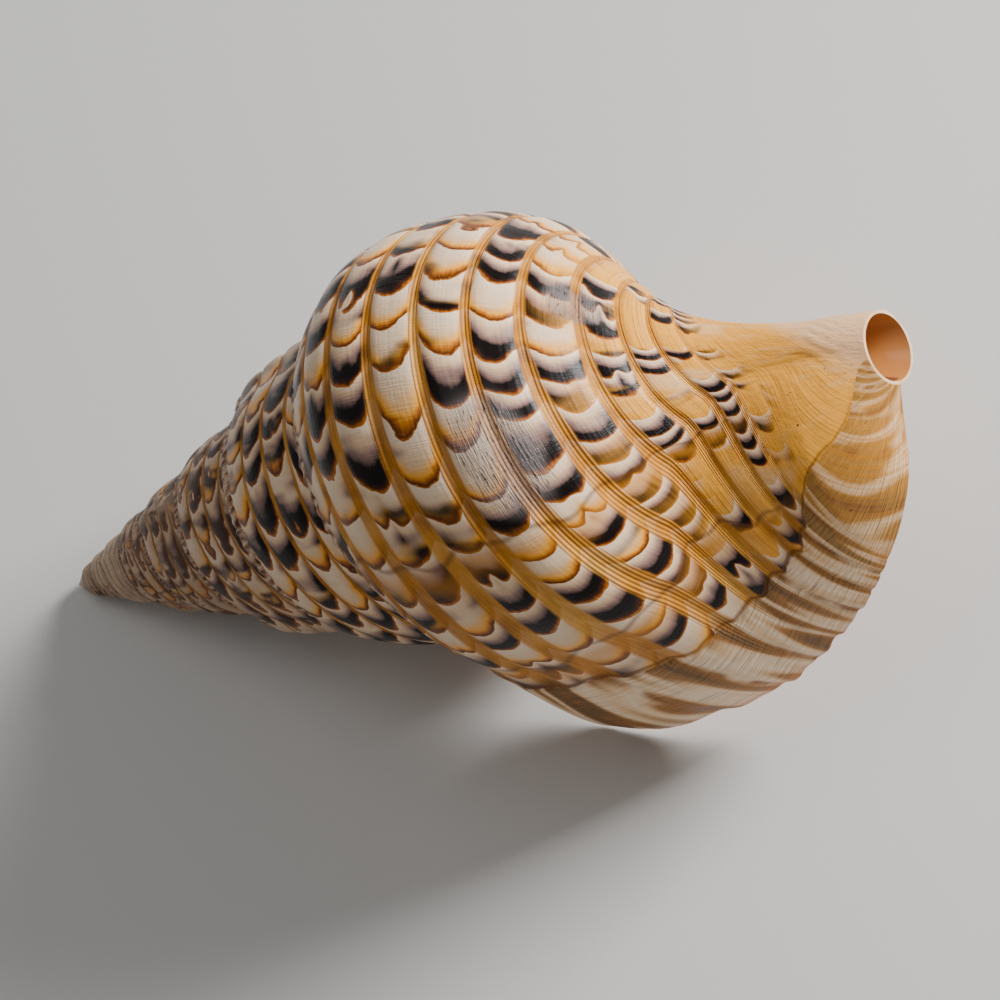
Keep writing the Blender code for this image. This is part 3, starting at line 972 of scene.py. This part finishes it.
class OutsidePaint:
    """The layers of the outside's colour, each laid over those before it."""

    def __init__(self, look: OutsideFinish, relief: Relief) -> None:
        """Start the material with the noises and marks that several layers share.

        Args:
            look: the colours and measures.
            relief: where the grooves, the growth breaks and the last band are.
        """
        self.look = look
        self.relief = relief
        self.bench = Bench("outside of the shell")
        self.turn, self.cords = self.bench.growth()
        self.flow = self.bench.vector(self.turn * 40.0, self.cords)
        self.wide = self.bench.noise(self.flow, 0.35)
        self.fine = self.bench.noise(self.flow, 1.7, 3.0)
        self.bands = self.bench.streaked(self.turn * 24.0, self.cords * 0.45)
        self.streaks = self.bench.streaked(self.turn * 7.0, self.cords * 17.0)
        self.lines = self.bench.streaked(self.turn * 900.0, self.cords * 0.8, 3.0)
        wander = self.cords
        for high, fast, along in relief.groove_waves:
            wave = (fast / FULL_TURN * self.turn + along / FULL_TURN * self.cords).wave()
            wander = wander + high * wave
        self.row = wander.whole()
        self.across = wander - self.row
        self.from_groove = 0.5 - (self.across - 0.5).size()

        self.colour: object = look.white
        self.rough = 0.24 + 0.20 * self.fine
        self.heights = (self.fine - 0.5) * look.ripple_height + (self.streaks - 0.5) * look.streak_height
        self.heights += (self.lines - 0.5) * look.line_height

    def cover(self, share: Field | float, colour: object) -> None:
        """Lay a colour over what is painted so far.

        Args:
            share: how much of it shows.
            colour: the colour.
        """
        self.colour = self.bench.blend(share, self.colour, colour)

    def crescents(self) -> Field:
        """Paint one row of crescents on each cord, in steps that are pale or dark.

        Returns:
            A random number for each step of each cord.
        """
        look, bench = self.look, self.bench
        bow = 1.0 - (2.0 * self.across - 1.0) * (2.0 * self.across - 1.0)
        lobes = self.across.wave().size()
        shape = bow + (lobes - bow) * bench.noise(self.flow, 0.5, 1.0).rise(0.58, 0.7) * 0.8
        growth = bench.maths("POWER", SPIRAL.expansion, self.turn) * (1.0 / math.log(SPIRAL.expansion))
        phase = growth * (1.0 / look.period) + self.turn.rise(*look.last_whorl) * 2.6
        phase = phase + bench.chance(self.row, 3.0) * 0.6 - shape * look.arch
        phase = phase + (self.wide - 0.5) * 1.8 + (self.fine - 0.5) * 0.35
        step = phase.whole()
        luck = bench.chance(self.row, step)
        saw = phase - step + (self.streaks - 0.5) * 0.10
        pale_stops = ((0.0, look.white), (0.5, look.cream), (0.74, look.amber), (0.84, look.orange))
        pale = bench.ramp(saw, (*pale_stops, (0.94, look.brown), (1.0, look.orange)))
        dark_stops = ((0.0, look.white), (0.14, look.cream), (0.36, look.lilac), (0.56, look.black))
        dark = bench.ramp(saw, (*dark_stops, (0.80, look.black), (0.90, look.brown), (0.98, look.orange)))
        self.colour = bench.blend((luck * 0.6 + self.bands * 1.1).rise(0.66, 0.80), pale, dark)
        return luck

    def base(self, luck: Field) -> None:
        """Paint the base gold with fine streaks.

        Args:
            luck: chooses the crescents that are kept there.
        """
        look, bench = self.look, self.bench
        base = bench.blend(self.streaks.rise(0.35, 0.7) * 0.55, look.amber, look.gold)
        base = bench.blend(self.streaks.rise(0.55, 0.75) * 0.5, base, look.dark_gold)
        base = bench.blend(self.wide.rise(0.5, 0.72) * 0.6, base, look.cream)
        kept = (luck + self.bands - 0.5).rise(0.50, 0.66) * self.cords.fall(11.0, 12.6)
        starts = self.cords + (self.wide - 0.5) * 2.5 + self.turn.rise(-0.16, -0.05) * 0.5
        self.cover(starts.rise(*look.base_cords) * (1.0 - kept), base)

    def grooves(self) -> None:
        """Paint the grooves with their fine threads, wider towards the lip."""
        look, bench = self.look, self.bench
        width = 0.075 + 0.03 * self.turn.rise(-1.2, -0.7) + 0.10 * self.turn.rise(-0.45, -0.1)
        edge = (self.from_groove + (self.fine - 0.5) * 0.06) / width
        groove = edge.fall(0.75, 1.15) * self.cords.fall(*look.last_grooves)
        thread = (self.cords * look.threads_per_cord).wave() * 0.5 + 0.5
        dark = thread * 0.26 + (self.fine - 0.42) * 1.1 + (self.streaks - 0.5) * 0.8
        tan = bench.blend(dark, look.gold, look.dark_gold)
        stretches = bench.noise(self.flow, 0.6).rise(0.56, 0.7) * self.cords.fall(6.0, 8.0)
        tan = bench.blend(stretches * 0.7, tan, look.brown)
        tan = bench.blend(self.wide.rise(0.45, 0.7) * 0.6, tan, look.pale_gold)
        self.cover(groove * 0.88, tan)
        self.heights += thread * groove * look.thread_height
        self.rough += groove * 0.12

    def beads(self) -> None:
        """Paint the crinkled beads along the suture."""
        look, bench = self.look, self.bench
        blobs = bench.streaked(self.turn * 130.0, self.cords * 3.5)
        crinkles = (self.turn * look.beads_per_turn + self.cords * 1.4 + (self.fine - 0.5) * 2.0).wave()
        beads = crinkles * 0.5 + (blobs - 0.5) * 3.0
        near_suture = (self.cords + (blobs - 0.5) * 0.6).fall(0.95, 1.2)
        self.heights += beads * near_suture * look.bead_height
        stops = ((0.1, look.brown), (0.45, look.bead), (0.9, look.white))
        self.cover(near_suture * 0.9, bench.ramp(beads * 0.5 + 0.5, stops))

    def wear(self) -> None:
        """Dull the older whorls, wear the apex and the varices, and rub two places grey."""
        look, bench, turn = self.look, self.bench, self.turn
        chalk = bench.noise(bench.places(), 90.0, 4.0)
        age = turn.fall(*look.old_turns)
        self.cover(age * (0.35 + 0.5 * (self.wide - 0.3)), look.dull)
        worn = turn.fall(*look.worn_turns) * 0.95 * chalk.rise(0.32, 0.52)
        worn = worn + chalk.rise(0.60, 0.72) * age * 0.55
        for place in self.relief.varices[1:]:
            worn = worn + turn.hill(place, 0.035) * self.fine.rise(0.25, 0.55) * 0.55
        self.cover(worn, look.worn)
        first, second = (turn.hill(*turns) * self.cords.hill(*cords) for turns, cords in look.rubbed)
        rubbed = ((first + second) * 1.5 + (self.bands - 0.5)).rise(0.2, 0.8)
        scratch = bench.streaked(turn * 90.0, self.cords * 26.0, 3.0)
        self.cover(rubbed * 0.6, look.grey)
        self.cover(rubbed * scratch.rise(0.58, 0.68) * 0.85, look.black)
        self.heights += rubbed * (scratch - 0.5) * look.scratch_height
        lumps = (chalk - 0.5) * look.chalk_height + (self.bands - 0.5) * look.lump_height
        self.heights += age * lumps
        self.rough += age * 0.12 - rubbed * 0.08

    def growth_breaks(self) -> None:
        """Mark each break with a gold zone and a dark line."""
        lean, first, last = self.relief.break_lean
        at = self.turn - self.cords.rise(first, last) * lean
        for high, along, start in self.relief.break_waves:
            at = at - (self.cords * (along / FULL_TURN) + start / FULL_TURN).wave() * high
        seen = self.cords.fall(*self.relief.breaks_fade)
        for place, _ in self.relief.breaks:
            self.cover(at.hill(place + 0.012, 0.016) * seen * 0.5, self.look.gold)
            self.cover(at.hill(place - 0.001, 0.004) * seen * 0.6, self.look.dark_gold)

    def last_band(self) -> None:
        """Paint the pale neck and canal, the last band with its bars, and the specks of the base."""
        look, bench, relief = self.look, self.bench, self.relief
        turn, cords = self.turn, self.cords
        self.cover(cords.rise(*look.neck_cords) * 0.8, look.canal)
        at = turn - relief.band_start
        for lean, first, last in relief.band_leans:
            at = at - lean * cords.rise(first, last)
        scallops = cords.wave() * cords.fall(*relief.scallops_fade) * relief.scallop
        at = at - scallops - (self.fine - 0.5) * 0.006
        on_band = at.rise(-0.0008, 0.0008)
        stops = ((0.37, look.band_grey), (0.44, look.band_tan), (0.48, look.cream), (0.53, look.white))
        bars = bench.streaked(cords * 1.6, turn * 6.0, 1.0)
        band = bench.ramp(bars, (*stops, (0.58, look.cream), (0.63, look.band_tan)))
        band = bench.blend(0.10 + cords.rise(8.0, 11.5) * 0.25, band, look.pale_gold)
        patches = bench.noise(self.flow, 0.8).rise(0.4, 0.6)
        band = bench.blend(self.from_groove.fall(0.02, 0.16) * patches, band, look.band_tan)
        band = bench.blend(self.lines.rise(0.54, 0.72) * 0.55, band, look.band_grey)
        band = bench.blend(cords.rise(10.5, 13.0) * self.streaks.rise(0.35, 0.65) * 0.65, band, look.gold)
        band = bench.blend(turn.rise(-0.014, 0.0) * self.wide.rise(0.4, 0.6) * 0.6, band, look.orange)
        self.cover(on_band * cords.fall(16.5, 17.5), band)
        growth_lines = bench.streaked(turn * 420.0, cords * 1.1, 3.0)
        self.heights += on_band * (growth_lines - 0.5) * look.growth_line_height
        self.rough += on_band * 0.16
        self.cover(at.hill(-0.0016, 0.0022) * cords.fall(12.0, 16.0) * 0.75, look.dark_gold)
        specks = bench.noise(bench.places(), 900.0).rise(0.70, 0.74) * cords.rise(9.0, 13.0)
        self.cover(specks * 0.8, look.brown)


@dataclass(frozen=True)
class InsideFinish:
    """Salmon inside, dark blotches with white teeth at the lip, white folds on a dark columella and painted
    shade in the canal bore.
    """

    deep: Colour = (0.68, 0.20, 0.035)
    # painted shade: a darker copy of the deep salmon, laid in the recess of the canal bore
    painted_canal_shade: Colour = (0.36, 0.11, 0.012)
    salmon: Colour = (0.84, 0.40, 0.14)
    cream: Colour = (0.88, 0.68, 0.48)
    brown: Colour = (0.07, 0.020, 0.006)
    teeth_start: Pair = (1.2, 2.0)
    teeth_end: Pair = (10.4, 11.2)
    clear_coat: float = 0.5
    coat_roughness: float = 0.08

    def material(self) -> bpy.types.Material:
        """Build the material and return it."""
        bench = Bench("inside of the shell")
        turn, along = bench.growth()
        soft = bench.noise(bench.vector(turn * 40.0, along), 0.5, 3.0)
        colour = bench.blend(soft.rise(0.3, 0.7), self.deep, self.salmon)
        colour = bench.blend(turn.rise(-0.12, -0.03) * 0.35, colour, self.cream)

        # Blotches and teeth on the lip's side
        toothed = along.rise(*self.teeth_start) * along.fall(*self.teeth_end)
        toothed = toothed * along.fall(INNER_SIDE - 5.0, INNER_SIDE - 4.0)
        across = along.fraction()
        blotch = across.hill(0.5, 0.48).rise(0.05, 0.25)
        blotch = blotch * turn.rise(-0.052, -0.040) * turn.fall(-0.010, -0.003)
        colour = bench.blend(blotch * toothed, colour, self.brown)
        one, other = (across.hill(middle, 0.08).rise(0.1, 0.6) for middle in TOOTH_PLACES)
        colour = bench.blend((one + other) * turn.rise(-0.047, -0.030) * toothed, colour, self.cream)

        # Folds on the columella, then painted shade darkening the canal bore
        columella = along.rise(24.0, 25.5) * along.fall(35.0, 38.0) * turn.rise(-0.42, -0.3)
        colour = bench.blend(columella * 0.9, colour, self.brown)
        fold = (along * 1.9 + turn * 3.0 + (soft - 0.5) * 0.8).wave().rise(0.1, 0.6)
        colour = bench.blend(columella * fold, colour, self.cream)
        # painted shade: the faces of the canal bore darkened towards a shaded copy of the salmon
        colour = bench.blend(along.hill(BORE_GROWTH[1], 0.01) * 0.75, colour, self.painted_canal_shade)
        heights = (bench.streaked(turn * 300.0, along * 0.6) - 0.5) * 0.00016
        heights = heights + fold * columella * 0.0005
        bench.gloss(0.5, self.clear_coat, self.coat_roughness)
        return bench.finish(colour, 0.20 + 0.15 * soft, heights)


@dataclass(frozen=True)
class EdgeFinish:
    """Pale, slightly chalky shell where the lip and the canal end."""

    pale: Colour = (0.86, 0.58, 0.34)
    tan: Colour = (0.62, 0.33, 0.14)

    def material(self) -> bpy.types.Material:
        """Build the material and return it."""
        bench = Bench("edge of the shell")
        soft = bench.noise(bench.places(), 160.0, 3.0)
        colour = bench.blend(soft.rise(0.4, 0.7), self.pale, self.tan)
        return bench.finish(colour, 0.4 + 0.2 * soft, (soft - 0.5) * 0.0002)


@dataclass
class TritonShell:
    """The shell: one grown piece."""

    relief: Relief = Relief()
    sharp_angle: float = 55.0

    def __post_init__(self) -> None:
        """Make its materials, in the order of Surface."""
        outside = OutsideFinish().material(self.relief)
        self.materials = [outside, InsideFinish().material(), EdgeFinish().material()]

    def cut(self, target: bpy.types.Object, name: str, bm: bmesh.types.BMesh) -> bpy.types.Object:
        """Take a closed mesh away from the target and return the cutter."""
        cutter = make_object(name, bm, self.materials)
        cutter.hide_render = True
        boolean = target.modifiers.new(name, "BOOLEAN")
        boolean.operation = "DIFFERENCE"
        boolean.solver = "MANIFOLD"
        boolean.object = cutter
        return cutter

    def build(self) -> bpy.types.Object:
        """Cut the hollow out of the outside and return the finished piece."""
        solid = make_object("uncut_shell", Outside(self.relief).build(), self.materials)
        cutters = [
            self.cut(solid, "hollow", Hollow().build()),
            self.cut(solid, "canal_bore", CanalBore().build()),
            self.cut(solid, "floor_block", floor_block()),
        ]
        graph = bpy.context.evaluated_depsgraph_get()
        mesh = bpy.data.meshes.new_from_object(solid.evaluated_get(graph), depsgraph=graph)
        for spent in [solid, *cutters]:
            bpy.data.objects.remove(spent)
        mesh.name = PIECE
        mesh.shade_smooth()
        mesh.set_sharp_from_angle(angle=math.radians(self.sharp_angle))
        shell = bpy.data.objects.new(PIECE, mesh)
        bpy.context.scene.collection.objects.link(shell)
        return shell


@dataclass(frozen=True)
class Lamp:
    """A soft square lamp: which way it stands from the shell, in the picture's right, up and back."""

    name: str
    towards: Triple
    distance: float
    size: float
    watts: float


@dataclass(frozen=True)
class Studio:
    """A plain pale floor, soft lights and the camera at the photograph's viewing angle."""

    camera_elevation: float = 56.081
    camera_roll: float = -42.889
    camera_distance: float = 1.44815
    target: Triple = (-0.00118, 0.00053, 0.03358)
    lens: float = 225.86
    sensor: float = 36.0
    furthest: float = 50.0
    floor_size: float = 12.0
    floor_colour: Colour = (0.72, 0.71, 0.69)
    room_light: float = 0.21
    lamps: tuple[Lamp, ...] = (
        Lamp("key", (0.75, 0.85, 0.6), 1.3, 0.5, 35.0),
        Lamp("fill", (-0.6, 0.7, 0.9), 1.6, 1.0, 3.0),
    )

    def axes(self) -> tuple[Vector, Vector, Vector]:
        """The camera's right, up and backward directions."""
        rise, roll = math.radians(self.camera_elevation), math.radians(self.camera_roll)
        right, up = Vector((1, 0, 0)), Vector((0, math.sin(rise), math.cos(rise)))
        back = Vector((0, -math.cos(rise), math.sin(rise)))
        rolled_right = right * math.cos(roll) + up * math.sin(roll)
        return rolled_right, up * math.cos(roll) - right * math.sin(roll), back

    def camera(self) -> bpy.types.Object:
        """Add the camera and return it."""
        right, up, back = self.axes()
        data = bpy.data.cameras.new("camera")
        data.lens, data.sensor_width = self.lens, self.sensor
        data.clip_end = self.furthest
        made = bpy.data.objects.new("camera", data)
        turn = Matrix((right, up, back)).transposed().to_4x4()
        made.matrix_world = Matrix.Translation(Vector(self.target) + back * self.camera_distance) @ turn
        bpy.context.scene.collection.objects.link(made)
        bpy.context.scene.camera = made
        return made

    def light(self, lamp: Lamp) -> bpy.types.Object:
        """Add a lamp that faces the shell and return it."""
        right, up, back = self.axes()
        towards = right * lamp.towards[0] + up * lamp.towards[1] + back * lamp.towards[2]
        data = bpy.data.lights.new(lamp.name, "AREA")
        data.shape, data.size, data.energy = "SQUARE", lamp.size, lamp.watts
        made = bpy.data.objects.new(lamp.name, data)
        made.location = Vector(self.target) + towards.normalized() * lamp.distance
        made.rotation_euler = towards.to_track_quat("Z", "Y").to_euler()
        bpy.context.scene.collection.objects.link(made)
        return made

    def floor(self) -> bpy.types.Object:
        """Add the floor and return it."""
        bm = bmesh.new()
        bmesh.ops.create_grid(bm, x_segments=1, y_segments=1, size=self.floor_size / 2)
        return make_object("floor", bm, [Bench("pale floor").finish(self.floor_colour, 0.75, None)])

    def build(self) -> None:
        """Add everything round the shell: the room light, the lamps, the floor and the camera."""
        world = bpy.data.worlds.new("soft room")
        world.use_nodes = True
        background = world.node_tree.nodes["Background"]
        background.inputs[0].default_value = (1.0, 1.0, 1.0, 1.0)
        background.inputs[1].default_value = self.room_light
        bpy.context.scene.world = world
        lights = [self.light(lamp) for lamp in self.lamps]
        self.floor()
        self.camera()


def main(frame: dict[str, object]) -> None:
    """Args:
        frame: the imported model.
    """
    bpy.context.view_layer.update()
    shell = TritonShell().build()
    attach(shell, "root")
    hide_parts(NODE)
    LOG.info("%s: %d faces, %d parts in the frame", PIECE, len(shell.data.polygons), len(frame["nodes"]))
    Studio().build()


if __name__ == "__main__":
    logging.basicConfig(level=logging.INFO)
    main(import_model())
